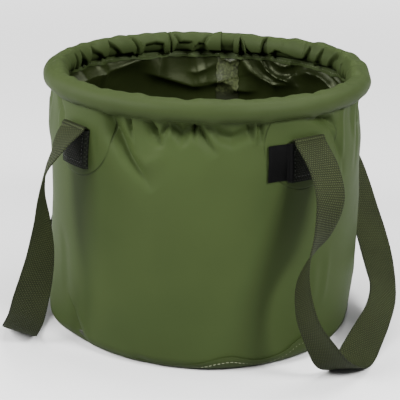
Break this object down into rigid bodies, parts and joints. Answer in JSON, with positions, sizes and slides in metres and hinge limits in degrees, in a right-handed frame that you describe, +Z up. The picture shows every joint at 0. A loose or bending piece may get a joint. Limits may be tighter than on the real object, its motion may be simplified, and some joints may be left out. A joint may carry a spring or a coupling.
{
  "type": "collapsible water bucket",
  "caption": "Collapsible round water bucket of coated cloth, with a hooped rim that pushes down towards the base and webbing handles that hang outside and swing up.",
  "frame": {"origin": "centre of the base's underside, on the surface that the bucket stands on", "axes": "+Z up along the bucket's axis, -Y to the front, which is the side that the picture shows, and +X to the right handle"},
  "size_m": [0.3422, 0.3087, 0.2265],
  "materials": {
    "coated_cloth": "matt olive green coated cloth with a slight sheen",
    "seam_tape": "smooth olive sealing tape",
    "webbing": "dull olive woven webbing",
    "black_webbing": "dull black woven webbing",
    "tag": "plain black woven tag",
    "thread": "olive and black sewing thread",
    "hoop_tube": "translucent springy tube, hidden in the rim",
    "joiner": "black plug, hidden in the tube"
  },
  "bodies": {
    "base": {"base_panel": "coated_cloth", "base_seam_tape": "seam_tape", "base_seam_thread": "thread", "wall_panel": "coated_cloth", "wall_seam_tape": "seam_tape"},
    "rim": {"rim_sleeve": "coated_cloth", "rim_seam_band": "coated_cloth", "rim_hoop": "hoop_tube", "hoop_joiner": "joiner", "hem_thread": "thread", "side_label": "tag", "right_front_patch": "black_webbing", "right_back_patch": "black_webbing", "left_front_patch": "black_webbing", "left_back_patch": "black_webbing", "right_front_box_stitch": "thread", "right_back_box_stitch": "thread", "left_front_box_stitch": "thread", "left_back_box_stitch": "thread", "right_front_strap_end": "webbing", "right_back_strap_end": "webbing", "left_front_strap_end": "webbing", "left_back_strap_end": "webbing"},
    "right_handle": {"right_handle_strap": "webbing"},
    "left_handle": {"left_handle_strap": "webbing"}
  },
  "joints": [
    {"name": "rim_collapse", "type": "slide", "parent": "base", "child": "rim", "axis": [0, 0, -1], "range_m": [0, 0.14], "deforming": ["wall_panel", "wall_seam_tape"]},
    {"name": "right_handle_swing", "type": "hinge", "parent": "rim", "child": "right_handle", "pos_m": [0.11279, -0.02064, 0.176], "axis": [-0.1029, -0.9947, 0], "range_deg": [0, 140]},
    {"name": "left_handle_swing", "type": "hinge", "parent": "rim", "child": "left_handle", "pos_m": [-0.11365, 0.00861, 0.176], "axis": [0.112, 0.9937, 0], "range_deg": [0, 140]}
  ]
}
